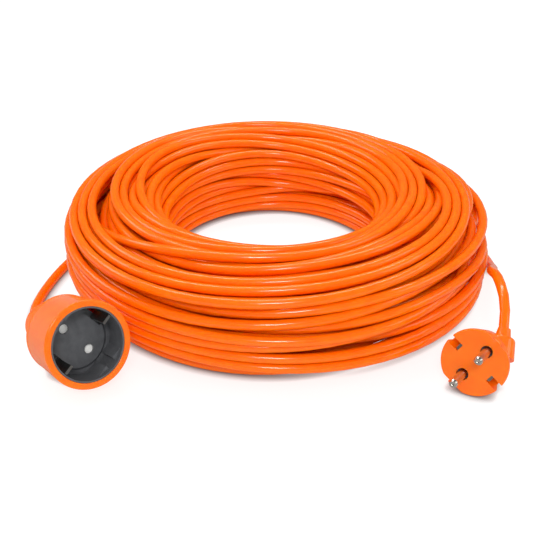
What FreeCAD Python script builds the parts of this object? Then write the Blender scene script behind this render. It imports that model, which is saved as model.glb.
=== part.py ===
import FreeCAD, Part
import math
import os
import PartDesign
import Sketcher
from FreeCAD import Placement, Rotation, Vector

# Orange mains extension cord: an earthed two-pin plug, 50 m of three-core lead wound in a
# loose round coil, and an earthed socket with a child shutter.
# Frame: millimetres, +Z up, +X from the socket towards the plug, +Y from them to the coil.
# The origin is on the floor, at the bottom centre of the box round the plug and the socket.
# Plug and socket are drawn in frames of their own and then laid down: z = 0 is the contact
# face, +z points out of it, the two pins lie on x, and the side earth contacts on y.

SIZES = {
    # lead
    "cord_radius": 2.9,
    "core_radius": 1.1,
    "core_circle": 1.35,
    # coil
    "coil_x": 8.5,
    "coil_y": 119.3,
    "coil_inner": 66,
    "coil_outer": 137,
    "coil_height": 62,
    "coil_low_round": 20,
    "coil_top_round": 27,
    # contacts shared by plug and socket
    "pin_pitch_half": 9.5,
    "pin_radius": 2.4,
    "pin_reach": 19,
    # socket shells
    "shell_mouth_radius": 24.5,
    "shell_rear_radius": 22.3,
    "shell_bore": 20.8,
    "shell_step_bore": 19.5,
    "shell_step_depth": 20.2,
    "shell_depth": 32.5,
    "cover_edge_depth": 35,
    "cover_waist_radius": 13.4,
    "cover_waist_depth": 55,
    "neck_radius": 12.2,
    "neck_depth": 68,
    "neck_round": 2,
    "cover_wall": 2.4,
    # socket insert
    "insert_radius": 20.7,
    "insert_lip_depth": 0.5,
    "recess_radius": 19.8,
    "recess_depth": 17.5,
    "trench_depth": 18.8,
    "platform_radius": 16.2,
    "pin_hole_radius": 2.65,
    "earth_gap_half": 6,
    "earth_gap_inner": 13.6,
    "guide_inner": 17.4,
    "guide_gap_half": 2.9,
    "guide_side": 10,
    "guide_top_depth": 3.5,
    # socket contacts and shutter
    "carrier_radius": 17.2,
    "carrier_depth": 40,
    "pocket_depth": 22.8,
    "shutter_half_length": 12.6,
    "shutter_half_width": 3.4,
    "shutter_thickness": 2.2,
    "shutter_travel": 6.5,
    "shutter_gap": 0.2,
    "slide_top_depth": 19.1,
    "spring_end": 13.1,
    "sleeve_inner": 2.45,
    "sleeve_outer": 3.2,
    "sleeve_top_depth": 25,
    "sleeve_end_depth": 39,
    "blade_half": 0.75,
    "blade_inner": 13.9,
    "blade_outer": 19.3,
    "blade_top_depth": 1.2,
    # strain reliefs
    "relief_radius": 5.2,
    "relief_tip_radius": 3.5,
    "relief_bore": 3,
    "relief_length": 20,
    "socket_relief_start": 58,
    "plug_relief_radius": 4.4,
    "plug_relief_length": 12,
    "seam_round": 0.5,
    # plug
    "plug_radius": 18.75,
    "plug_edge": 0.8,
    "plug_rim_depth": 2.5,
    "plug_rear_radius": 12.4,
    "plug_rear_depth": 25,
    "plug_rear_round": 3,
    "pin_recess_radius": 3.4,
    "pin_recess_depth": 4,
    "pin_shank_radius": 2,
    "bridge_half_length": 13,
    "bridge_half_width": 3.8,
    "bridge_rear_depth": 11.5,
    "chamber_rear_depth": 20,
    "groove_half": 2.3,
    "groove_inner": 11,
    "groove_depth": 13.2,
    "cheek_wall": 1.6,
    "cheek_inset": 1.5,
    "plug_flat": 17.2,
    "key_half": 2.4,
    "strip_half": 1.9,
    "strip_thick": 0.8,
    "neck_root_x": 9.4,
    "neck_root_y": -5,
    "neck_root_depth": 16.5,
    "neck_turn": 40,
    "neck_lean": 33,
    "boss_radius": 7.8,
    "boss_length": 12,
    "boss_round": 2.4,
    # where the socket and the plug lie, and how they are turned
    "socket_x": -92.6,
    "socket_y": -24.15,
    "socket_heading": 34,
    "socket_roll": -53.3,
    "plug_x": 113.68,
    "plug_y": -21.9,
    "plug_heading": -26.6,
    "plug_roll": 55.9,
}

# The uncoiled lead from the socket and from the plug to the coil, after the straight runs
# that leave the strain reliefs.
SOCKET_LEAD = [
    (-141.5, 63, 3.1),
    (-138.5, 88, 2.9),
    (-132, 114, 2.9),
    (-122, 139, 2.9),
    (-107, 161, 2.9),
]
PLUG_LEAD = [
    (134.8, 31.5, 42.5),
    (135.7, 55.9, 32.2),
    (143.5, 78.1, 20.5),
    (148, 101, 8.4),
    (148.5, 126, 2.9),
    (143, 151, 2.9),
    (130.5, 173, 2.9),
    (112, 190, 2.9),
]

# Along the plug's neck: where the strain relief starts and where the boss ends.
NECK_RELIEF_START = 1
NECK_BOSS_END = 8

doc = FreeCAD.newDocument("ExtensionCord")
sheet = doc.addObject("Spreadsheet::Sheet", "Sizes")
for row, (alias, size) in enumerate(SIZES.items(), start=1):
    sheet.set(f"A{row}", alias)
    sheet.set(f"B{row}", str(size))
    sheet.setAlias(f"B{row}", alias)
doc.recompute()
NODES = []


def bind(obj, prop, expression):
    """Tie one property to sizes of the sheet; a bare alias is read as a cell."""
    words = []
    for word in expression.split():
        words.append(f"Sizes.{word}" if word in SIZES else word)
    obj.setExpression(prop, " ".join(words))


def place(obj, x="0", y="0", z="0"):
    bind(obj, ".Placement.Base.x", x)
    bind(obj, ".Placement.Base.y", y)
    bind(obj, ".Placement.Base.z", z)


def box(name, x_low, x_high, y_low, y_high, z_low, z_high):
    block = doc.addObject("Part::Box", name)
    bind(block, "Length", f"( {x_high} ) - ( {x_low} )")
    bind(block, "Width", f"( {y_high} ) - ( {y_low} )")
    bind(block, "Height", f"( {z_high} ) - ( {z_low} )")
    place(block, x_low, y_low, z_low)
    return block


def rod(name, radius, z_low, z_high, x="0", y="0"):
    cylinder = doc.addObject("Part::Cylinder", name)
    bind(cylinder, "Radius", radius)
    bind(cylinder, "Height", f"( {z_high} ) - ( {z_low} )")
    place(cylinder, x, y, z_low)
    return cylinder


def cone(name, low_radius, high_radius, z_low, z_high, x="0", y="0"):
    taper = doc.addObject("Part::Cone", name)
    bind(taper, "Radius1", low_radius)
    bind(taper, "Radius2", high_radius)
    bind(taper, "Height", f"( {z_high} ) - ( {z_low} )")
    place(taper, x, y, z_low)
    return taper


def fuse(name, *shapes):
    union = doc.addObject("Part::MultiFuse", name)
    union.Shapes = list(shapes)
    return union


def cut(name, base, *tools):
    """Take the tools away from the base, which must lose some volume by it."""
    result = doc.addObject("Part::Cut", name)
    result.Base = base
    result.Tool = tools[0] if len(tools) == 1 else fuse(f"{name}_tools", *tools)
    doc.recompute()
    if result.Shape.Volume > base.Shape.Volume - 0.01:
        raise RuntimeError(f"{name}: a cut that removes nothing")
    return result


def turned(name, outline, fillets=()):
    """A revolved body. The outline is a closed list of (radius, height) expressions, and
    fillets are (radius and height of the corner's edge, size alias)."""
    body = doc.addObject("PartDesign::Body", name)
    sketch = body.newObject("Sketcher::SketchObject", f"{name}_outline")
    planes = {feature.Role: feature for feature in body.Origin.OriginFeatures}
    sketch.AttachmentSupport = [(planes["XZ_Plane"], "")]
    sketch.MapMode = "FlatFace"
    corners = [Vector(reckon(r), reckon(z), 0) for r, z in outline]
    count = len(corners)
    for index in range(count):
        sketch.addGeometry(Part.LineSegment(corners[index], corners[(index + 1) % count]))
    for index in range(count):
        sketch.addConstraint(Sketcher.Constraint("Coincident", index, 2, (index + 1) % count, 1))
    for index, (r, z) in enumerate(outline):
        for axis, number, text in (("X", corners[index].x, r), ("Y", corners[index].y, z)):
            if abs(number) < 1e-9:
                line = -2 if axis == "X" else -1
                sketch.addConstraint(Sketcher.Constraint("PointOnObject", index, 1, line))
                continue
            sign = 1 if number > 0 else -1
            ends = (-1, 1, index, 1) if sign > 0 else (index, 1, -1, 1)
            key = sketch.addConstraint(Sketcher.Constraint(f"Distance{axis}", *ends, abs(number)))
            bind(sketch, f"Constraints[{key}]", text if sign > 0 else f"- ( {text} )")
    spin = body.newObject("PartDesign::Revolution", f"{name}_turn")
    spin.Profile = sketch
    spin.ReferenceAxis = (sketch, ["V_Axis"])
    spin.Angle = 360
    doc.recompute()
    for number, (radius, height, size) in enumerate(fillets):
        last = body.Tip
        edges = ring_edges(last.Shape, reckon(radius), reckon(height))
        rounding = body.newObject("PartDesign::Fillet", f"{name}_round_{number}")
        rounding.Base = (last, edges)
        bind(rounding, "Radius", size)
        doc.recompute()
    return body


def reckon(expression):
    """The value of a sum of aliases and numbers, which is all that the outlines use."""
    total, sign = 0.0, 1
    for word in expression.split():
        if word in "+-":
            sign = 1 if word == "+" else -1
            continue
        total += sign * (SIZES[word] if word in SIZES else float(word))
        sign = 1
    return total


def ring_edges(shape, radius, height):
    names = []
    for number, edge in enumerate(shape.Edges, start=1):
        if isinstance(edge.Curve, Part.Circle):
            same = abs(edge.Curve.Radius - radius) < 0.01
            if same and abs(edge.Curve.Center.z - height) < 0.01:
                names.append(f"Edge{number}")
    if not names:
        raise RuntimeError(f"no round edge of radius {radius} at {height}")
    return names


def lay_down(node, x, y, heading, tilt, roll, height):
    """Turn a piece from its own frame to where it lies on the floor."""
    stand = Rotation(Vector(1, 0, 0), 90)
    lean = Rotation(Vector(1, 0, 0), -tilt)
    face = Rotation(Vector(0, 0, 1), heading)
    spin = Rotation(Vector(0, 0, 1), roll)
    pose = Placement(Vector(x, y, height), face * lean * stand * spin)
    node.Placement = pose.multiply(node.Placement)


def keep(obj, label):
    obj.Label = label
    NODES.append(obj)
    return obj


def rounded_path(points):
    """Straight runs joined by tangent arcs as large as the shorter run allows."""
    points = [Vector(*point) for point in points]
    edges, radii, start = [], [], points[0]
    for before, corner, after in zip(points, points[1:], points[2:]):
        back, ahead = before - corner, after - corner
        half_turn = (math.pi - back.getAngle(ahead)) / 2
        reach = 0.45 * min(back.Length, ahead.Length)
        radii.append(reach / math.tan(half_turn))
        back.normalize()
        ahead.normalize()
        first, last = corner + back * reach, corner + ahead * reach
        middle = (back + ahead).normalize()
        centre = corner + middle * math.hypot(reach, radii[-1])
        edges.append(Part.LineSegment(start, first).toShape())
        edges.append(Part.Arc(first, centre - middle * radii[-1], last).toShape())
        start = last
    edges.append(Part.LineSegment(start, points[-1]).toShape())
    return Part.Wire(edges), radii


def routed_tube(label, points, radius):
    """A round cord or core along its route, checked against section times length."""
    path, radii = rounded_path(points)
    first = path.Edges[0]
    ring = Part.Wire([Part.Circle(first.valueAt(first.FirstParameter),
                                  first.tangentAt(first.FirstParameter), radius).toShape()])
    shape = path.makePipeShell([ring], True, False)
    if shape.Volume < 0:
        shape.reverse()
    expected = math.pi * radius**2 * path.Length
    error = shape.Volume / expected - 1
    tube = doc.addObject("Part::Feature", label)
    tube.Shape = shape
    if abs(error) > 0.01:
        raise RuntimeError(f"{label}: volume is {error:.1%} off section times length")
    print(f"{label}: {path.Length:.1f} mm, smallest radius {min(radii):.1f} mm, "
          f"radii {[round(r) for r in radii]}, volume off by {error:.2%}")
    return keep(tube, label)


def socket_shells():
    shell = turned(
        "front_shell",
        [
            ("shell_bore", "0"),
            ("shell_mouth_radius", "0"),
            ("shell_rear_radius", "0 - shell_depth"),
            ("shell_step_bore", "0 - shell_depth"),
            ("shell_step_bore", "0 - shell_step_depth"),
            ("shell_bore", "0 - shell_step_depth"),
        ],
        [("shell_mouth_radius", "0", "1"), ("shell_bore", "0", "0.4"),
         ("shell_rear_radius", "0 - shell_depth", "seam_round")],
    )
    cover = turned(
        "rear_cover",
        [
            ("shell_rear_radius", "0 - shell_depth"),
            ("shell_rear_radius", "0 - cover_edge_depth"),
            ("cover_waist_radius", "0 - cover_waist_depth"),
            ("neck_radius", "0 - cover_waist_depth - 2"),
            ("neck_radius", "0 - neck_depth"),
            ("relief_radius + 0.1", "0 - neck_depth"),
            ("relief_radius + 0.1", "0 - neck_depth + 6"),
            ("neck_radius - 3.8", "0 - neck_depth + 6"),
            ("neck_radius - 3.8", "0 - cover_waist_depth"),
            ("shell_rear_radius - cover_wall", "0 - cover_edge_depth - 1"),
            ("shell_rear_radius - cover_wall", "0 - shell_depth"),
        ],
        [("neck_radius", "0 - neck_depth", "neck_round"),
         ("shell_rear_radius", "0 - shell_depth", "seam_round")],
    )
    return keep(shell, "socket_front_shell"), keep(cover, "socket_rear_cover")


def guide_rib(name, side, y_low, y_high):
    """One of the four guide ribs that line the plug up."""
    inner, wall = "guide_inner", "recess_radius + 0.4"
    if side < 0:
        inner, wall = f"0 - ( {wall} )", f"0 - {inner}"
    return box(name, inner, wall, y_low, y_high, "0 - trench_depth", "0 - guide_top_depth")


def socket_insert():
    """The dark cup: wall, floor with a raised platform, guide ribs and holes."""
    cup = turned(
        "insert_cup",
        [
            ("0", "0 - shell_step_depth"),
            ("insert_radius", "0 - shell_step_depth"),
            ("insert_radius", "0 - insert_lip_depth"),
            ("recess_radius", "0 - insert_lip_depth"),
            ("recess_radius", "0 - trench_depth"),
            ("platform_radius + 1.5", "0 - trench_depth"),
            ("platform_radius", "0 - recess_depth"),
            ("0", "0 - recess_depth"),
        ],
    )
    ribs = []
    for side, tag in ((1, "right"), (-1, "left")):
        ribs.append(guide_rib(f"rib_{tag}_up", side, "guide_gap_half", "guide_side"))
        ribs.append(guide_rib(f"rib_{tag}_down", side, "0 - guide_side", "0 - guide_gap_half"))
    ribbed = doc.addObject("Part::MultiCommon", "ribs_in_cup")
    ribbed.Shapes = [fuse("ribs", *ribs), rod("rib_limit", "recess_radius + 0.4",
                                              "0 - trench_depth", "0")]
    holes = []
    for side, tag in (("", "live"), ("0 - ", "neutral")):
        holes.append(rod(f"hole_{tag}", "pin_hole_radius", "0 - shell_step_depth - 1",
                         "0 - recess_depth + 1", x=f"{side}pin_pitch_half"))
    holes.append(box("earth_gap_up", "0 - earth_gap_half", "earth_gap_half", "earth_gap_inner",
                     "recess_radius - 0.3", "0 - shell_step_depth - 1", "0 - recess_depth + 1"))
    holes.append(box("earth_gap_down", "0 - earth_gap_half", "earth_gap_half",
                     "0 - recess_radius + 0.3", "0 - earth_gap_inner",
                     "0 - shell_step_depth - 1", "0 - recess_depth + 1"))
    holes.append(box("shutter_room", "0 - shutter_half_length - shutter_gap",
                     "shutter_half_length + shutter_gap", "0 - shutter_half_width - shutter_gap",
                     "shutter_half_width + shutter_travel + shutter_gap",
                     "0 - shell_step_depth - 1", "0 - slide_top_depth"))
    holes.append(box("insert_spring_room", "0 - 1.4", "1.4", "0", "spring_end",
                     "0 - shell_step_depth - 1", "0 - slide_top_depth"))
    solid = fuse("insert_solid", cup, ribbed)
    return keep(cut("insert_cut", solid, *holes), "socket_insert")


def socket_carrier():
    """The block behind the insert that holds the contacts and the shutter's slideway."""
    block = rod("carrier_block", "carrier_radius", "0 - carrier_depth", "0 - shell_step_depth")
    slideway = box("slideway", "0 - shutter_half_length - shutter_gap",
                   "shutter_half_length + shutter_gap", "0 - shutter_half_width - shutter_gap",
                   "shutter_half_width + shutter_travel + shutter_gap",
                   "0 - pocket_depth", "0 - shell_step_depth + 1")
    spring_room = box("spring_room", "0 - 1.4", "1.4", "0", "spring_end",
                      "0 - pocket_depth", "0 - shell_step_depth + 1")
    tools = [slideway, spring_room]
    for side, tag in (("", "live"), ("0 - ", "neutral")):
        tools.append(rod(f"sleeve_room_{tag}", "sleeve_outer + 0.1", "0 - carrier_depth - 1",
                         "0 - pocket_depth + 1", x=f"{side}pin_pitch_half"))
    for low, high, tag in (("blade_inner", "carrier_radius + 1", "up"),
                           ("0 - carrier_radius - 1", "0 - blade_inner", "down")):
        tools.append(box(f"blade_way_{tag}", "0 - blade_half - 0.1", "blade_half + 0.1",
                         low, high, "0 - carrier_depth - 1", "0 - shell_step_depth + 1"))
    return keep(cut("carrier_cut", block, *tools), "socket_contact_carrier")


def socket_sleeve(tag, x):
    """A pin contact: a slit brass sleeve with a closed rear end that takes the core."""
    outer = rod(f"sleeve_{tag}", "sleeve_outer", "0 - sleeve_end_depth",
                "0 - sleeve_top_depth", x=x)
    bore = rod(f"sleeve_bore_{tag}", "sleeve_inner", "0 - sleeve_end_depth + 2",
               "0 - sleeve_top_depth + 1", x=x)
    slit = box(f"sleeve_slit_{tag}", f"{x} - 0.4", f"{x} + 0.4", "0 - sleeve_outer - 1",
               "sleeve_outer + 1", "0 - sleeve_end_depth + 4", "0 - sleeve_top_depth + 1")
    return keep(cut(f"sleeve_cut_{tag}", outer, bore, slit), f"socket_contact_{tag}")


def socket_earth():
    """One bent strip: a blade at each side of the recess and a bridge behind the carrier."""
    parts = [box("earth_bridge", "0 - 3", "3", "0 - blade_inner - 2.4", "blade_inner + 2.4",
                 "0 - carrier_depth - 1", "0 - carrier_depth")]
    for low, high, tag in (("blade_inner", "blade_outer", "up"),
                           ("0 - blade_outer", "0 - blade_inner", "down")):
        parts.append(box(f"blade_{tag}", "0 - blade_half", "blade_half", low, high,
                         "0 - shell_step_depth", "0 - blade_top_depth"))
    for low, high, tag in (("blade_inner + 0.4", "blade_inner + 2.4", "up"),
                           ("0 - blade_inner - 2.4", "0 - blade_inner - 0.4", "down")):
        parts.append(box(f"blade_leg_{tag}", "0 - blade_half", "blade_half", low, high,
                         "0 - carrier_depth", "0 - shell_step_depth"))
    return keep(fuse("earth_strip_fused", *parts), "socket_earth_bracket")


def socket_shutter():
    """The white slide that closes both pin holes at rest, and the spring that returns it."""
    top = "0 - slide_top_depth - shutter_gap"
    plate = box("shutter_plate", "0 - shutter_half_length", "shutter_half_length",
                "0 - shutter_half_width", "shutter_half_width",
                f"{top} - shutter_thickness", top)
    peg = box("spring_peg", "0 - 0.5", "0.5", "shutter_half_width", "shutter_half_width + 1.2",
              f"{top} - 1.6", f"{top} - 0.6")
    keep(fuse("shutter_solid", plate, peg), "socket_shutter")
    wire, coil_radius, turns = 0.2, 1, 7
    start = SIZES["shutter_half_width"] + wire
    end = SIZES["spring_end"] - wire
    middle = -SIZES["slide_top_depth"] - 1.3
    helix = Part.makeHelix((end - start) / turns, end - start, coil_radius)
    ring = Part.Wire([Part.Circle(Vector(coil_radius, 0, 0), Vector(0, 1, 0), wire).toShape()])
    shape = helix.makePipeShell([ring], True, True)
    shape.rotate(Vector(0, 0, 0), Vector(1, 0, 0), -90)
    shape.translate(Vector(0, start, middle))
    spring = doc.addObject("Part::Feature", "shutter_spring")
    spring.Shape = shape
    return keep(spring, "socket_shutter_spring")


def relief_outline(start):
    """A tapered sleeve round the lead, with a flange that the housing holds."""
    end = f"{start} - relief_length"
    return [
        ("relief_bore", start),
        ("relief_radius + 2.6", start),
        ("relief_radius + 2.6", f"{start} - 3.4"),
        ("relief_radius", f"{start} - 3.4"),
        ("relief_radius", f"{start} - 10.4"),
        ("relief_tip_radius", end),
        ("relief_bore", end),
    ]


def core_ends(depth):
    """Where the three cores leave the end of the sheath, on a circle round its middle."""
    ends = []
    for number in range(3):
        angle = math.radians(120 * number - 30)
        ends.append((SIZES["core_circle"] * math.cos(angle),
                     SIZES["core_circle"] * math.sin(angle), depth))
    return ends


def socket_wiring():
    relief = turned("socket_relief", relief_outline("0 - socket_relief_start"))
    keep(relief, "socket_strain_relief")
    sheath, sleeve = -SIZES["socket_relief_start"], -SIZES["sleeve_end_depth"]
    live, earth, neutral = core_ends(sheath)
    half = SIZES["pin_pitch_half"]
    core = SIZES["core_radius"]
    routed_tube("socket_wire_live",
                [live, (live[0] + 0.4, live[1], sheath + 4), (half - 0.5, 0, sleeve - 7),
                 (half, 0, sleeve)], core)
    routed_tube("socket_wire_neutral",
                [neutral, (neutral[0] - 0.4, neutral[1], sheath + 4),
                 (0.5 - half, 0, sleeve - 7), (-half, 0, sleeve)], core)
    bridge = -SIZES["carrier_depth"] - 1
    routed_tube("socket_wire_earth",
                [earth, (earth[0], earth[1] + 0.3, sheath + 5), (0, 3.4, bridge - 5),
                 (0, 3.6, bridge)], core)


def plug_frame_neck():
    """Root point and direction of the plug's cable neck, in the plug's own frame."""
    turn, lean = math.radians(SIZES["neck_turn"]), math.radians(SIZES["neck_lean"])
    root = Vector(SIZES["neck_root_x"], SIZES["neck_root_y"], -SIZES["neck_root_depth"])
    way = Vector(math.cos(lean) * math.cos(turn), math.cos(lean) * math.sin(turn),
                 -math.sin(lean))
    return root, way


def along_neck(obj, start):
    """Turn a piece that is drawn along +z so that it runs along the neck from start."""
    root, way = plug_frame_neck()
    obj.Placement = Placement(root + way * start, Rotation(Vector(0, 0, 1), way))
    return obj


def neck_piece(name, low_radius, high_radius, start, end):
    piece = doc.addObject("Part::Cone", name)
    bind(piece, "Radius1", low_radius)
    bind(piece, "Radius2", high_radius)
    piece.Height = end - start
    return along_neck(piece, start)


def plug_body():
    """The moulded body: a round face, a tapering back and a boss for the lead."""
    blank = turned(
        "plug_blank",
        [
            ("0", "0"),
            ("plug_radius", "0"),
            ("plug_radius", "0 - plug_rim_depth"),
            ("plug_rear_radius", "0 - plug_rear_depth"),
            ("0", "0 - plug_rear_depth"),
        ],
        [("plug_radius", "0", "plug_edge"),
         ("plug_rear_radius", "0 - plug_rear_depth", "plug_rear_round")],
    )
    boss = turned(
        "plug_boss",
        [
            ("0", "0"),
            ("boss_radius + 0.6", "0"),
            ("boss_radius - 0.8", "boss_length"),
            ("0", "boss_length"),
        ],
        [("boss_radius - 0.8", "boss_length", "boss_round")],
    )
    along_neck(boss, NECK_BOSS_END - SIZES["boss_length"])
    cheeks = []
    for low, high, tag in (("groove_inner - 1", "plug_radius", "up"),
                           ("0 - plug_radius", "1 - groove_inner", "down")):
        cheeks.append(box(f"cheek_{tag}", "0 - groove_half - cheek_wall",
                          "groove_half + cheek_wall", low, high,
                          "0 - groove_depth - cheek_wall", "0 - plug_edge - 0.2"))
    trimmed = doc.addObject("Part::MultiCommon", "cheeks_in_round")
    trimmed.Shapes = [fuse("cheeks", *cheeks),
                      rod("cheek_limit", "plug_radius - cheek_inset",
                          "0 - plug_rear_depth", "0")]
    tools = []
    for x_low, x_high, side in (("plug_flat", "plug_radius + 1", "right"),
                                ("0 - plug_radius - 1", "0 - plug_flat", "left")):
        for y_low, y_high, tag in (("key_half", "plug_radius", "up"),
                                   ("0 - plug_radius", "0 - key_half", "down")):
            tools.append(box(f"flat_{side}_{tag}", x_low, x_high, y_low, y_high,
                             "0 - groove_depth", "1"))
    for side, tag in (("", "live"), ("0 - ", "neutral")):
        tools.append(rod(f"pin_recess_{tag}", "pin_recess_radius", "0 - pin_recess_depth", "1",
                         x=f"{side}pin_pitch_half"))
    tools.append(box("bridge_room", "0 - bridge_half_length", "bridge_half_length",
                     "0 - bridge_half_width", "bridge_half_width",
                     "0 - bridge_rear_depth", "0 - pin_recess_depth"))
    tools.append(box("wiring_room_far", "0 - 11.2", "0", "0 - 5", "3.8",
                     "0 - chamber_rear_depth", "0 - bridge_rear_depth"))
    tools.append(box("wiring_room_near", "0 - 3", "11.2", "0 - 9.6", "3.8",
                     "0 - chamber_rear_depth + 1.5", "0 - bridge_rear_depth"))
    for low, high, tag in (("groove_inner", "plug_radius + 1", "up"),
                           ("0 - plug_radius - 1", "0 - groove_inner", "down")):
        tools.append(box(f"groove_{tag}", "0 - groove_half", "groove_half", low, high,
                         "0 - groove_depth", "1"))
    tools.append(box("strip_room", "0 - strip_half", "strip_half", "0 - groove_inner",
                     "groove_inner", "0 - bridge_rear_depth - strip_thick",
                     "0 - bridge_rear_depth"))
    tools.append(neck_piece("core_room", "relief_bore + 0.3", "relief_bore + 0.4", -2,
                            NECK_RELIEF_START))
    tools.append(neck_piece("relief_room", "plug_relief_radius + 0.1",
                            "plug_relief_radius + 0.11", NECK_RELIEF_START,
                            NECK_BOSS_END + 8))
    tools.append(neck_piece("flange_room", "plug_relief_radius + 0.8",
                            "plug_relief_radius + 0.81",
                            NECK_RELIEF_START - 0.1, NECK_RELIEF_START + 3.1))
    solid = fuse("plug_solid", blank, boss, trimmed)
    return keep(cut("plug_body_cut", solid, *tools), "plug_body")


def plug_bridge():
    """The dark insulating bar inside the plug that holds both pins."""
    bar = box("bridge_bar", "0 - bridge_half_length", "bridge_half_length",
              "0 - bridge_half_width", "bridge_half_width",
              "0 - bridge_rear_depth", "0 - pin_recess_depth")
    holes = []
    for side, tag in (("", "live"), ("0 - ", "neutral")):
        holes.append(rod(f"shank_hole_{tag}", "pin_shank_radius", "0 - bridge_rear_depth - 1",
                         "0 - pin_recess_depth + 1", x=f"{side}pin_pitch_half"))
    return keep(cut("bridge_cut", bar, *holes), "plug_bridge")


def plug_pin(tag, x, tail_low, tail_high, tail_side):
    """A solid pin: a tapered tip, a thinner shank held in the bridge, and a flat tail
    against the bridge's back that its core is welded to."""
    shaft = rod(f"pin_{tag}", "pin_radius", "0 - pin_recess_depth", "pin_reach - 1.2", x=x)
    tip = cone(f"pin_tip_{tag}", "pin_radius", "pin_radius - 0.8", "pin_reach - 1.2",
               "pin_reach", x=x)
    shank = rod(f"pin_shank_{tag}", "pin_shank_radius", "0 - bridge_rear_depth",
                "0 - pin_recess_depth", x=x)
    tail = box(f"pin_tail_{tag}", tail_low, tail_high, f"0 - {tail_side}", "2",
               "0 - bridge_rear_depth - strip_thick", "0 - bridge_rear_depth")
    solid = fuse(f"pin_solid_{tag}", shaft, tip, shank, tail)
    dimple = cone(f"pin_dimple_{tag}", "0", "0.9", "pin_reach - 0.5", "pin_reach + 0.01", x=x)
    return keep(cut(f"pin_cut_{tag}", solid, dimple), f"plug_pin_{tag}")


def plug_earth():
    """One strip with a contact tab in each side groove, joined behind the bridge."""
    parts = [box("strip_cross", "0 - strip_half", "strip_half", "0 - groove_inner",
                 "groove_inner", "0 - bridge_rear_depth - strip_thick",
                 "0 - bridge_rear_depth")]
    for low, high, tag in (("groove_inner", "groove_inner + strip_thick", "up"),
                           ("0 - groove_inner - strip_thick", "0 - groove_inner", "down")):
        parts.append(box(f"tab_{tag}", "0 - strip_half", "strip_half", low, high,
                         "0 - bridge_rear_depth - strip_thick", "0 - 1"))
    for low, high, tag in (("groove_inner + strip_thick", "groove_inner + 2 * strip_thick", "up"),
                           ("0 - groove_inner - 2 * strip_thick",
                            "0 - groove_inner - strip_thick", "down")):
        parts.append(box(f"tab_nose_{tag}", "0 - strip_half", "strip_half", low, high,
                         "0 - 5.5", "0 - 1.6"))
    return keep(fuse("plug_strip_fused", *parts), "plug_earth_strip")


def plug_relief():
    sleeve = turned("plug_relief", [
        ("relief_bore", "0"),
        ("plug_relief_radius + 0.7", "0"),
        ("plug_relief_radius + 0.7", "3"),
        ("plug_relief_radius", "3"),
        ("plug_relief_radius", "7"),
        ("relief_tip_radius", "plug_relief_length"),
        ("relief_bore", "plug_relief_length"),
    ])
    return keep(sleeve, "plug_strain_relief")


def plug_wiring():
    """Three cores from the end of the sheath to the tails of the pins and to the strip."""
    root, way = plug_frame_neck()
    sheath = root + way * NECK_RELIEF_START
    side = way.cross(Vector(0, 0, 1)).normalize()
    up = side.cross(way)
    starts = []
    for angle in (126, 6, 246):
        turn = math.radians(angle)
        starts.append(sheath + (side * math.cos(turn) + up * math.sin(turn))
                      * SIZES["core_circle"])
    live, neutral, earth = (tuple(start) for start in starts)
    core = SIZES["core_radius"]
    back = -SIZES["bridge_rear_depth"] - SIZES["strip_thick"]
    routed_tube("plug_wire_live", [live, (7.0, -5.9, back - 1.8), (6.6, -6.2, back)], core)
    routed_tube("plug_wire_neutral",
                [neutral, (7.6, -8, back - 3), (1, -5.6, back - 3.6), (-7.4, -1.2, back - 3.6),
                 (-8.5, 0, back)], core)
    routed_tube("plug_wire_earth",
                [earth, (6.2, -5, back - 4.7), (1.8, -1.2, back - 4.7), (0.5, 1.8, back)], core)


def coil_solid():
    """The outer shape of the wound coil: a thick round-cornered ring that lies flat."""
    ring = turned(
        "coil_ring",
        [
            ("coil_inner", "0"),
            ("coil_outer", "0"),
            ("coil_outer", "coil_height"),
            ("coil_inner", "coil_height"),
        ],
        [("coil_outer", "0", "coil_low_round"), ("coil_inner", "0", "coil_low_round"),
         ("coil_outer", "coil_height", "coil_top_round"),
         ("coil_inner", "coil_height", "coil_top_round")],
    )
    keep(ring, "cord_coil")
    return ring


def resting(front, rear):
    """Tilt and axis height of a round piece that lies on two edges, each given by its
    radius, its depth behind the face and the radius that it is rounded to."""
    (wide, near, front_round), (slim, far, rear_round) = front, rear
    across = (wide - front_round) - (slim - rear_round)
    along = (far - rear_round) - (near - front_round)
    lean = math.acos((rear_round - front_round) / math.hypot(across, along))
    tilt = lean - math.atan2(along, across)
    height = ((wide - front_round) * math.cos(tilt) + (near - front_round) * math.sin(tilt)
              + front_round)
    return math.degrees(tilt), height


socket_shells()
socket_insert()
socket_carrier()
socket_sleeve("live", "pin_pitch_half")
socket_sleeve("neutral", "0 - pin_pitch_half")
socket_earth()
socket_shutter()
socket_wiring()
SOCKET_NODES = list(NODES)
plug_body()
plug_bridge()
plug_pin("live", "pin_pitch_half", "5", "11", "7.6")
plug_pin("neutral", "0 - pin_pitch_half", "0 - 11", "0 - 6", "2")
plug_earth()
relief = plug_relief()
plug_wiring()
PLUG_NODES = NODES[len(SOCKET_NODES):]
doc.recompute()

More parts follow.
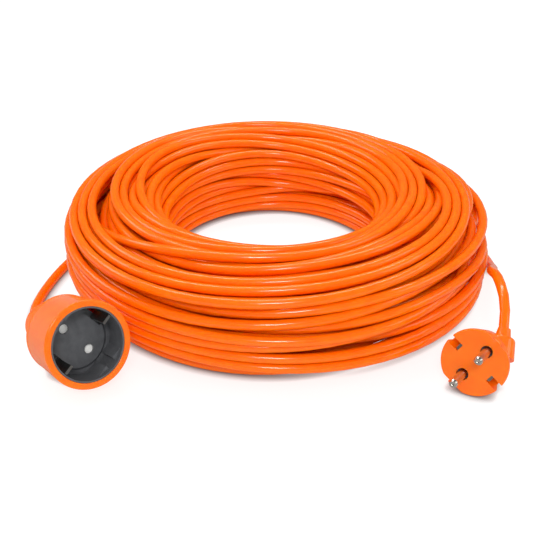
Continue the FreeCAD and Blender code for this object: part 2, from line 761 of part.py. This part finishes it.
socket_tilt, socket_height = resting(
    (SIZES["shell_rear_radius"], SIZES["cover_edge_depth"], 0),
    (SIZES["neck_radius"], SIZES["neck_depth"], SIZES["neck_round"]))
plug_tilt, plug_height = resting(
    (SIZES["plug_radius"], SIZES["plug_rim_depth"], 0),
    (SIZES["plug_rear_radius"], SIZES["plug_rear_depth"], 0))
print(f"socket tilt {socket_tilt:.2f}, height {socket_height:.2f}; "
      f"plug tilt {plug_tilt:.2f}, height {plug_height:.2f}")
for node in SOCKET_NODES:
    lay_down(node, SIZES["socket_x"], SIZES["socket_y"], SIZES["socket_heading"],
             socket_tilt, SIZES["socket_roll"], socket_height)
along_neck(relief, NECK_RELIEF_START)
for node in PLUG_NODES:
    lay_down(node, SIZES["plug_x"], SIZES["plug_y"], SIZES["plug_heading"],
             plug_tilt, SIZES["plug_roll"], plug_height)
plug_pose = PLUG_NODES[0].Placement
socket_pose = SOCKET_NODES[0].Placement

coil = coil_solid()
bind(coil, ".Placement.Base.x", "coil_x")
bind(coil, ".Placement.Base.y", "coil_y")

EXIT_RUN = 10
root, way = plug_frame_neck()
tip = NECK_RELIEF_START + SIZES["plug_relief_length"]
plug_start = [plug_pose.multVec(root + way * NECK_RELIEF_START),
              plug_pose.multVec(root + way * (tip + EXIT_RUN))]
depth = SIZES["socket_relief_start"]
socket_start = [socket_pose.multVec(Vector(0, 0, -depth)),
                socket_pose.multVec(Vector(0, 0, -depth - SIZES["relief_length"] - EXIT_RUN))]
print("plug exit", plug_start, "socket exit", socket_start)
routed_tube("cord_socket_lead", [tuple(p) for p in socket_start] + SOCKET_LEAD,
            SIZES["cord_radius"])
routed_tube("cord_plug_lead", [tuple(p) for p in plug_start] + PLUG_LEAD, SIZES["cord_radius"])
doc.recompute()

for obj in doc.Objects:
    if "Invalid" in obj.State or "Error" in obj.State:
        raise RuntimeError(f"{obj.Label} failed: {obj.State}")
os.makedirs("parts", exist_ok=True)
for node in NODES:
    if node.Shape.isNull() or not node.Shape.isValid():
        raise RuntimeError(f"{node.Label} has no valid shape")
    node.Shape.exportStep(f"parts/{node.Label}.step")

reach = FreeCAD.BoundBox()
for node in SOCKET_NODES + PLUG_NODES:
    reach.add(node.Shape.optimalBoundingBox())
print("plug and socket reach", reach)
for node in NODES:
    box_size = node.Shape.optimalBoundingBox()
    print(f"{node.Label}: {len(node.Shape.Solids)} solid, lowest z {box_size.ZMin:.2f}")
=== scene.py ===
import math

import bpy
import numpy as np
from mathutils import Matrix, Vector


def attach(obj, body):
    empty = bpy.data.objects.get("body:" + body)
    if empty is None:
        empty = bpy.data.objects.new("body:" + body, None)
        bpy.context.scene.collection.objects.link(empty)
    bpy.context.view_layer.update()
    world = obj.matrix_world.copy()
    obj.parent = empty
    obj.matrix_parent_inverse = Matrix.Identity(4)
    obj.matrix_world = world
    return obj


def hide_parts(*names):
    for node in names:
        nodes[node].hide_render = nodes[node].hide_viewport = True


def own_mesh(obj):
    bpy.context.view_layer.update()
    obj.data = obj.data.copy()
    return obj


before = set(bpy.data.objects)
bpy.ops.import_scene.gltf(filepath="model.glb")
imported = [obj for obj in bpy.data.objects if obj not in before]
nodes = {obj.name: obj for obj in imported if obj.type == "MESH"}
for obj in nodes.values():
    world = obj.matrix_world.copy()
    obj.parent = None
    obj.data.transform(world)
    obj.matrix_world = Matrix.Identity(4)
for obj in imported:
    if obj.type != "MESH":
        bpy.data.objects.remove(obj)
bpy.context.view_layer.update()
MM = 0.001

# ---------------------------------------------------------------- camera

CAMERA_AT = (2.5, -470.5, 331.5)
CAMERA_PITCH = 29.5
CAMERA_FOV = 29.73

view = bpy.data.cameras.new("studio_camera")
view.sensor_fit = "HORIZONTAL"
view.angle = math.radians(CAMERA_FOV)
view.clip_start, view.clip_end = 0.01, 20
camera = bpy.data.objects.new("studio_camera", view)
camera.location = Vector(CAMERA_AT) * MM
camera.rotation_euler = (math.radians(90 - CAMERA_PITCH), 0, 0)
bpy.context.scene.collection.objects.link(camera)
bpy.context.scene.camera = camera

# ---------------------------------------------------------------- cord

CORD_WIDTH = 5.8
CORD_RADIUS = CORD_WIDTH / 2
COIL_CENTRE = (8.5, 119.3)
COIL_INNER = 66 + CORD_RADIUS
COIL_OUTER = 137 - CORD_RADIUS
COIL_TOP = 62 - CORD_RADIUS
# the coil sags forwards: its back is slimmer and its front is a little fuller
BACK_INNER, BACK_OUTER, FRONT_OUTER = 10, 8, 5
# it also leans to one side: the hole sits to the left, and the back is higher there
HOLE_SHIFT, BACK_LEAN, BACK_TOP = 4, 4, 1
# the lowest strands at the front have slid outwards by this much
FRONT_SLUMP = 6
LOW_ROUND = 9 - CORD_RADIUS
TOP_ROUND = 27 - CORD_RADIUS
TURNS = 78
STEPS = 24
# the lead from the socket comes into the coil at this angle, and the turns run clockwise
ENTRY_ANGLE = 160.1
LAST_STEPS = 8
SPREAD_SEED = 7

# laying: each turn wanders sideways and crosses over to the lowest place in the heap
FIRST_TURN_INSET = 10
WANDER, WANDER_SPAN = 3, 0.45
CROSS_BEFORE, CROSS_SPAN = 0.55, 0.45
UNEVEN, CENTRING, MEAN_RADIUS = 3.5, 0.003, 101.5
NESTING = 1.7
# radii at which the leads pass under the coil's edge: inwards, and outwards again
ENTRY_RADII = (141, 134, 122.8)
EXIT_RADII = (123.8, 132.8, 137.6)
# neighbours of the first and last turns, out of everything's reach
FAR_RADIUS, FAR_STEP = 1000, 50.0
# the descent of the last turn: its share of a turn, its height and how it hugs the coil
DESCENT_TURN, DESCENT_HEIGHT, DESCENT_CURVE = 0.42, 38, 1.3
DESCENT_INSET, DESCENT_TUCK, DESCENT_FADE = 2.5, 5.5, 4.0
# settling: rounds, push between strands, stiffness of the cord and sinking
SETTLING = ((260, 0.38, 0.2, 0.1), (200, 0.38, 0.06, 0))
SINK_FROM, SINK_OVER, SINK_UNTIL = 25, 40, 0.8
PRESS_HEIGHT, PRESS_UNTIL = 45, 0.6
# this much of the radius is left out when the turns are swollen
UNSWOLLEN = 8.0

# the cord starts inside the socket's strain relief and ends inside the plug's
SOCKET_LEAD = [
    (-123.467, 21.613, 14.163),
    (-139.433, 45.283, 4.954),
    (-141.5, 63, 3.1),
    (-138.5, 88, 2.9),
    (-132, 114, 2.9),
    (-122, 139, 2.9),
]
PLUG_LEAD = [
    (130.069, -9.995, 19.691),
    (135.769, 5.622, 34.099),
    (134.8, 31.5, 42.5),
    (135.7, 55.9, 32.2),
    (143.5, 78.1, 20.5),
    (148, 101, 8.4),
    (148.5, 126, 2.9),
    (143, 151, 2.9),
    (130.5, 173, 2.9),
    (112, 190, 2.9),
]


def eased(share):
    """A share from 0 to 1 that starts and ends gently."""
    return share * share * (3 - 2 * share)


def drift(source, count, span):
    """Random values, one a step, that change smoothly over span steps."""
    knots = source.normal(0, 1, int(count / span) + 4)
    place = np.arange(count) / span
    low = place.astype(int)
    share = eased(place - low)
    return knots[low] * (1 - share) + knots[low + 1] * share


def laid_turns(source):
    """Radius and height of every point as the turns are laid one after another, each where
    the heap is lowest, and resting on the turns that it crosses."""
    count = TURNS * STEPS
    radius, height = np.zeros(count), np.zeros(count)
    columns = np.linspace(COIL_INNER, COIL_OUTER, 60)
    heap = np.full((STEPS, len(columns)), CORD_RADIUS)
    wander = drift(source, count, STEPS * WANDER_SPAN) * WANDER
    cross_at = source.integers(0, int(STEPS * CROSS_BEFORE), TURNS)
    last = COIL_OUTER - FIRST_TURN_INSET
    for turn in range(TURNS):
        profile = heap.mean(0) + source.normal(0, UNEVEN, len(columns))
        target = columns[np.argmin(profile + CENTRING * (columns - MEAN_RADIUS) ** 2)]
        here = slice(turn * STEPS, (turn + 1) * STEPS)
        crossed = (np.arange(STEPS) - cross_at[turn]) / (STEPS * CROSS_SPAN)
        share = eased(np.clip(crossed, 0, 1))
        radius[here] = np.clip(last * (1 - share) + target * share + wander[here],
                               COIL_INNER, COIL_OUTER)
        rest = np.full(STEPS, CORD_RADIUS)
        if turn:
            below = radius[:here.start].reshape(-1, STEPS)
            gap = np.abs(below - radius[here])
            touch = np.sqrt(np.clip(CORD_WIDTH**2 - gap**2, 0, None))
            top = height[:here.start].reshape(-1, STEPS) + touch
            rest = np.maximum(rest, np.where(gap < CORD_WIDTH, top, 0).max(0))
        level = rest.copy()
        for _ in range(6):
            sides = np.roll(level, 1) + np.roll(level, -1)
            level = np.maximum(rest, 0.5 * level + 0.25 * sides)
        height[here] = level
        gap = np.abs(columns - radius[here, None])
        top = level[:, None] + np.sqrt(np.clip(CORD_WIDTH**2 - gap**2, 0, None)) - NESTING
        heap = np.where(gap < CORD_WIDTH, np.maximum(heap, top), heap)
        last = target
    return np.stack([radius, height], 1)


def pushed_apart(points, weight):
    """How far each point moves so that turns which share a section stop overlapping."""
    push = np.zeros_like(points)
    curve = points.copy()
    curve[1:-1] = 0.75 * points[1:-1] + 0.125 * (points[:-2] + points[2:])
    between = (points[:-1] + points[1:]) / 2
    for line, half in ((curve, False), (between, True)):
        size = len(line) // STEPS * STEPS
        rings = line[:size].reshape(-1, STEPS, 2)
        apart = rings[:, None] - rings[None]
        distance = np.sqrt((apart**2).sum(-1)) + 1e-9
        own = np.arange(len(rings))
        distance[own, own] = 99
        overlap = np.clip(CORD_WIDTH * 1.005 - distance, 0, None)
        move = (apart / distance[..., None] * overlap[..., None]).sum(1).reshape(-1, 2)
        if half:
            push[:size] += move * 0.5
            push[1:size + 1] += move * 0.5
        else:
            push[:size] += move
    return push * weight


def turned(count):
    """The angle round the coil at each point of the winding."""
    return math.radians(ENTRY_ANGLE) - np.arange(count) * 2 * math.pi / STEPS


def section_limits(count):
    """Inner and outer radius and height of the coil's section at every point."""
    angle = turned(count)
    right = np.cos(angle)
    back, front = np.clip(np.sin(angle), 0, 1), np.clip(-np.sin(angle), 0, 1)
    return (COIL_INNER + BACK_INNER * back ** 2 - HOLE_SHIFT * right,
            COIL_OUTER - BACK_OUTER * back + FRONT_OUTER * front ** 2,
            COIL_TOP - (BACK_TOP + BACK_LEAN * right) * back)


def held_inside(points, press):
    """Points pressed softly back into the round-cornered section of the coil."""
    radius, height = points[:, 0], points[:, 1]
    inner, outer, lid = section_limits(len(points))
    lid = lid + press
    height = np.maximum(height, CORD_RADIUS)
    height = height - 0.5 * np.clip(height - lid, 0, None)
    radius = np.clip(radius, inner, outer)
    corners = (
        (TOP_ROUND, outer - TOP_ROUND, lid - TOP_ROUND, 1, 1),
        (TOP_ROUND, inner + TOP_ROUND, lid - TOP_ROUND, -1, 1),
        (LOW_ROUND, outer - LOW_ROUND, CORD_RADIUS + LOW_ROUND, 1, -1),
        (LOW_ROUND, inner + LOW_ROUND, CORD_RADIUS + LOW_ROUND, -1, -1),
    )
    for round_off, at_radius, at_height, side, way in corners:
        across, along = (radius - at_radius) * side, (height - at_height) * way
        reach = np.hypot(across, along)
        out = (across > 0) & (along > 0) & (reach > round_off)
        back = np.where(out, 0.5 * (reach - round_off) / np.maximum(reach, 1e-6), 0)
        radius = radius - back * across * side
        height = height - back * along * way
    return np.stack([radius, height], 1)


def wound_coil():
    """(radius, height) of every control point of the turns, settled against each other.
    Rows before and after the coil hold the leads that pass under its edge."""
    source = np.random.default_rng(SPREAD_SEED)
    far = np.stack([FAR_RADIUS + FAR_STEP * np.arange(STEPS), np.zeros(STEPS)], 1)
    before, after = far.copy(), -far
    before[-2:] = [(radius, CORD_RADIUS) for radius in ENTRY_RADII[:2]]
    after[LAST_STEPS:LAST_STEPS + 3] = [(radius, CORD_RADIUS) for radius in EXIT_RADII]
    points = np.concatenate([before, laid_turns(source), after])
    last = STEPS * (TURNS + 1) + LAST_STEPS
    # the end of the last turn goes down the outside of the coil to the floor
    down = np.arange(int(STEPS * DESCENT_TURN))[::-1]
    rows = slice(last - len(down), last)
    outer = section_limits(len(points))[1][rows]
    points[rows, 0] = outer - DESCENT_INSET - DESCENT_TUCK * np.exp(-down / DESCENT_FADE)
    points[rows, 1] = CORD_RADIUS + DESCENT_HEIGHT * (down / len(down)) ** DESCENT_CURVE
    fixed = np.ones(len(points), bool)
    fixed[STEPS + 1:last] = False
    points[STEPS] = (ENTRY_RADII[2], CORD_RADIUS)
    start = points.copy()
    for run, weight, stiff, sink in SETTLING:
        for step in range(run):
            moved = points + pushed_apart(points, weight)
            bend = np.zeros_like(points)
            bend[1:-1] = (moved[:-2] + moved[2:]) / 2 - moved[1:-1]
            twist = np.zeros_like(points)
            twist[1:-1] = (bend[:-2] + bend[2:]) / 2 - bend[1:-1]
            moved = moved - stiff * twist
            sinking = sink * (step < SINK_UNTIL * run)
            moved[:, 1] -= sinking * np.clip((moved[:, 1] - SINK_FROM) / SINK_OVER, 0, 1)
            press = PRESS_HEIGHT * max(0, 1 - step / (PRESS_UNTIL * run)) if sink else 0
            moved = held_inside(moved, press)
            points = np.where(fixed[:, None], start, moved)
    points = points[STEPS:last]
    front = np.clip(-np.sin(turned(len(points))), 0, 1) ** 5
    points[:, 0] += FRONT_SLUMP * front * np.clip(1 - points[:, 1] / COIL_TOP, 0, 1)
    return points


def cord_curve():
    """One open strand: socket lead, coil, plug lead."""
    rings = wound_coil()
    # the spline cuts inside its control points, so they stand a little further out
    swell = 1 / (0.75 + 0.25 * math.cos(2 * math.pi / STEPS))
    angle = turned(len(rings))
    radius = UNSWOLLEN + (rings[:, 0] - UNSWOLLEN) * swell
    turns = np.stack([COIL_CENTRE[0] + radius * np.cos(angle),
                      COIL_CENTRE[1] + radius * np.sin(angle), rings[:, 1]], 1)
    line = SOCKET_LEAD + [tuple(point) for point in turns] + PLUG_LEAD[::-1]
    curve = bpy.data.curves.new("mains_cord", "CURVE")
    curve.dimensions = "3D"
    strand = curve.splines.new("NURBS")
    strand.points.add(len(line) - 1)
    for point, (x, y, z) in zip(strand.points, line):
        point.co = (x * MM, y * MM, z * MM, 1)
    strand.order_u = 3
    strand.use_endpoint_u = True
    strand.resolution_u = 3
    curve.bevel_depth = CORD_RADIUS * MM
    curve.bevel_resolution = 3
    curve.use_fill_caps = True
    cord = bpy.data.objects.new("mains_cord", curve)
    bpy.context.scene.collection.objects.link(cord)
    return cord


# ---------------------------------------------------------------- materials


def linear(code):
    """An sRGB hex colour as linear red, green, blue and full alpha."""
    parts = [int(code[i:i + 2], 16) / 255 for i in (0, 2, 4)]
    return [p / 12.92 if p <= 0.04045 else ((p + 0.055) / 1.055) ** 2.4 for p in parts] + [1]


def add(tree, kind, settings=None, **inputs):
    """A node with its settings, and with values or links on its inputs."""
    node = tree.nodes.new(kind)
    for name, value in (settings or {}).items():
        setattr(node, name, value)
    for name, value in inputs.items():
        socket = node.inputs[int(name[1:])] if name[1:].isdigit() else \
            node.inputs[name.replace("_", " ")]
        if isinstance(value, bpy.types.NodeSocket):
            tree.links.new(value, socket)
        else:
            socket.default_value = value
    return node


def finish(name, **surface):
    """A material with an empty tree but for its surface; returns it, the tree and the
    surface node."""
    material = bpy.data.materials.new(name)
    material.use_nodes = True
    tree = material.node_tree
    shader = next(n for n in tree.nodes if n.type == "BSDF_PRINCIPLED")
    for key, value in surface.items():
        shader.inputs[key.replace("_", " ")].default_value = value
    return material, tree, shader


def mottled(tree, low, high, size_mm, place):
    """A colour that drifts between two shades over patches of the given size."""
    noise = add(tree, "ShaderNodeTexNoise", Vector=place, Scale=1 / (size_mm * MM),
                Detail=3.0, Roughness=0.5)
    ramp = add(tree, "ShaderNodeValToRGB", Fac=noise.outputs["Fac"])
    ramp.color_ramp.elements[0].position = 0.3
    ramp.color_ramp.elements[1].position = 0.7
    ramp.color_ramp.elements[0].color = linear(low)
    ramp.color_ramp.elements[1].color = linear(high)
    return ramp.outputs["Color"]


def grained(tree, shader, size_mm, depth_mm, place):
    """Moulded grain of the given size and depth on the surface."""
    noise = add(tree, "ShaderNodeTexNoise", Vector=place, Scale=1 / (size_mm * MM),
                Detail=2.0, Roughness=0.55)
    bump = add(tree, "ShaderNodeBump", Strength=1.0, Distance=depth_mm * MM,
               Height=noise.outputs["Fac"])
    tree.links.new(bump.outputs["Normal"], shader.inputs["Normal"])


def soft_pvc(name, low, high, rough):
    """Plasticised PVC: strong colour, a soft gloss and a faint orange-peel skin."""
    material, tree, shader = finish(name, Roughness=rough, IOR=1.53,
                                    Specular_IOR_Level=0.5,
                                    Subsurface_Weight=0.4, Subsurface_Scale=0.003,
                                    Subsurface_Radius=(1.0, 0.18, 0.04))
    place = add(tree, "ShaderNodeTexCoord").outputs["Object"]
    tree.links.new(mottled(tree, low, high, 9, place), shader.inputs["Base Color"])
    grained(tree, shader, 1.1, 0.01, place)
    return material


def hard_plastic(name, low, high, rough, grain_mm, depth_mm):
    """Injection-moulded engineering plastic with an eroded grain."""
    material, tree, shader = finish(name, Roughness=rough, IOR=1.5)
    place = add(tree, "ShaderNodeTexCoord").outputs["Object"]
    tree.links.new(mottled(tree, low, high, 4, place), shader.inputs["Base Color"])
    grained(tree, shader, grain_mm, depth_mm, place)
    return material


def metal(name, low, high, rough):
    """Plated or plain metal with faint handling marks."""
    material, tree, shader = finish(name, Metallic=1.0, Roughness=rough)
    place = add(tree, "ShaderNodeTexCoord").outputs["Object"]
    tree.links.new(mottled(tree, low, high, 1.5, place), shader.inputs["Base Color"])
    grained(tree, shader, 0.4, 0.004, place)
    return material


def striped_core(name, first, second, width_mm):
    """Core insulation in two colours, green with a yellow stripe."""
    material, tree, shader = finish(name, Roughness=0.4, IOR=1.53)
    place = add(tree, "ShaderNodeTexCoord").outputs["Object"]
    wave = add(tree, "ShaderNodeTexWave", {"bands_direction": "DIAGONAL"}, Vector=place,
               Scale=1 / (width_mm * MM) / 6, Distortion=0.3)
    ramp = add(tree, "ShaderNodeValToRGB", Fac=wave.outputs["Fac"])
    ramp.color_ramp.interpolation = "CONSTANT"
    ramp.color_ramp.elements[0].color = linear(first)
    ramp.color_ramp.elements[1].position = 0.5
    ramp.color_ramp.elements[1].color = linear(second)
    tree.links.new(ramp.outputs["Color"], shader.inputs["Base Color"])
    return material


sheath_pvc = soft_pvc("extruded_pvc_sheath", "FF6C00", "FF7400", 0.17)
moulding_pvc = soft_pvc("moulded_pvc_orange", "FF6E00", "FF7600", 0.24)
dark_nylon = hard_plastic("dark_moulded_nylon", "525356", "5E5F62", 0.42, 0.6, 0.02)
white_nylon = hard_plastic("white_moulded_nylon", "F2F1EC", "FBFAF7", 0.4, 0.6, 0.015)
nickel = metal("nickel_plated_brass", "D6CFC3", "E4DED3", 0.26)
spring_metal = metal("tinned_spring_bronze", "918F8A", "A5A39E", 0.32)
contact_brass = metal("drawn_contact_brass", "C79A4A", "D8AE60", 0.28)
brown_core = soft_pvc("brown_core_pvc", "55301B", "633820", 0.4)
blue_core = soft_pvc("blue_core_pvc", "1F5FB8", "2A6CC8", 0.4)
earth_core = striped_core("green_yellow_core_pvc", "3F9A36", "F2D21A", 1.6)

CAD_FINISHES = {
    "socket_front_shell": moulding_pvc,
    "socket_rear_cover": moulding_pvc,
    "socket_strain_relief": moulding_pvc,
    "plug_body": moulding_pvc,
    "plug_strain_relief": moulding_pvc,
    "socket_insert": dark_nylon,
    "socket_contact_carrier": dark_nylon,
    "plug_bridge": dark_nylon,
    "socket_shutter": white_nylon,
    "socket_contact_live": contact_brass,
    "socket_contact_neutral": contact_brass,
    "socket_earth_bracket": spring_metal,
    "socket_shutter_spring": spring_metal,
    "plug_earth_strip": spring_metal,
    "plug_pin_live": nickel,
    "plug_pin_neutral": nickel,
    "socket_wire_live": brown_core,
    "plug_wire_live": brown_core,
    "socket_wire_neutral": blue_core,
    "plug_wire_neutral": blue_core,
    "socket_wire_earth": earth_core,
    "plug_wire_earth": earth_core,
}
for name, material in CAD_FINISHES.items():
    nodes[name].data.materials.clear()
    nodes[name].data.materials.append(material)

# the return spring gets a copy with a mesh of its own on the cord set, in place of the
# imported part, and stays against its stop
spring = bpy.data.objects.new("shutter_return_spring",
                              nodes["socket_shutter_spring"].data.copy())
bpy.context.scene.collection.objects.link(spring)
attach(spring, "cord_set")
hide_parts("socket_shutter_spring")
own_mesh(spring)

cord = cord_curve()
cord.data.materials.append(sheath_pvc)
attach(cord, "cord_set")
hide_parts("cord_coil", "cord_socket_lead", "cord_plug_lead")

# ---------------------------------------------------------------- floor and light

# glow of the floor and of the room, and what is left of it in reflections
FLOOR_GLOW, FLOOR_IN_GLOSS = 0.8, 0.12
ROOM_GLOW, ROOM_IN_GLOSS = 0.74, 0.1
# reach and falloff of the painted contact shadow that darkens the floor's glow near the cord
PAINTED_SHADOW_REACH, PAINTED_SHADOW_CURVE = 5, 1.6


def dim_in_gloss(tree, strength, in_gloss):
    """A glow that fills the shadows but is dimmer in reflections: the gloss stays crisp."""
    path = add(tree, "ShaderNodeLightPath")
    dimmed = add(tree, "ShaderNodeMath", {"operation": "MULTIPLY_ADD"},
                 _0=path.outputs["Is Glossy Ray"], _1=in_gloss - strength, _2=strength)
    return dimmed.outputs[0]


floor_shape = bpy.data.meshes.new("studio_floor")
floor_shape.from_pydata([(-4, -4, 0), (4, -4, 0), (4, 6, 0), (-4, 6, 0)], [], [(0, 1, 2, 3)])
floor = bpy.data.objects.new("studio_floor", floor_shape)
bpy.context.scene.collection.objects.link(floor)
floor_paint, floor_tree, floor_surface = finish("matt_white_floor", Roughness=0.7)
floor_surface.inputs["Base Color"].default_value = linear("8E8C8C")
floor_surface.inputs["Emission Color"].default_value = linear("FBFFFF")
# the paper glows evenly; a painted contact shadow dims that glow only in the last
# millimetres under the cord
painted_shadow_occlusion = add(floor_tree, "ShaderNodeAmbientOcclusion", Distance=PAINTED_SHADOW_REACH * MM)
painted_contact_shadow = add(floor_tree, "ShaderNodeMath", {"operation": "POWER"},
              _0=painted_shadow_occlusion.outputs["AO"], _1=PAINTED_SHADOW_CURVE)
glow = add(floor_tree, "ShaderNodeMath", {"operation": "MULTIPLY"},
           _0=painted_contact_shadow.outputs[0],
           _1=dim_in_gloss(floor_tree, FLOOR_GLOW, FLOOR_IN_GLOSS))
floor_tree.links.new(glow.outputs[0], floor_surface.inputs["Emission Strength"])
floor_shape.materials.append(floor_paint)


def softbox(name, at, aim, size, power):
    """A rectangular white lamp in a diffuser, turned towards its aim."""
    lamp = bpy.data.lights.new(name, "AREA")
    lamp.shape = "RECTANGLE"
    lamp.size, lamp.size_y = size
    lamp.energy = power
    light = bpy.data.objects.new(name, lamp)
    light.location = at
    light.rotation_mode = "QUATERNION"
    light.rotation_quaternion = (Vector(at) - Vector(aim)).to_track_quat("Z", "Y")
    bpy.context.scene.collection.objects.link(light)


CENTRE = (0, 0.1, 0.03)
softbox("overhead_softbox", (-0.05, 0.55, 1.0), CENTRE, (1.1, 0.14), 5.2)
softbox("left_softbox", (-1.0, 0.45, 0.75), CENTRE, (0.7, 0.4), 2.4)
softbox("right_softbox", (1.2, -0.2, 0.6), CENTRE, (0.7, 0.5), 1.9)
softbox("front_softbox", (-0.02, -1.2, 1.1), CENTRE, (0.36, 0.2), 8.6)

world = bpy.data.worlds.new("white_surround")
world.use_nodes = True
backdrop = world.node_tree.nodes["Background"]
backdrop.inputs["Color"].default_value = linear("FFFFFF")
world.node_tree.links.new(dim_in_gloss(world.node_tree, ROOM_GLOW, ROOM_IN_GLOSS),
                          backdrop.inputs["Strength"])
bpy.context.scene.world = world
bpy.context.scene.view_settings.view_transform = "Standard"
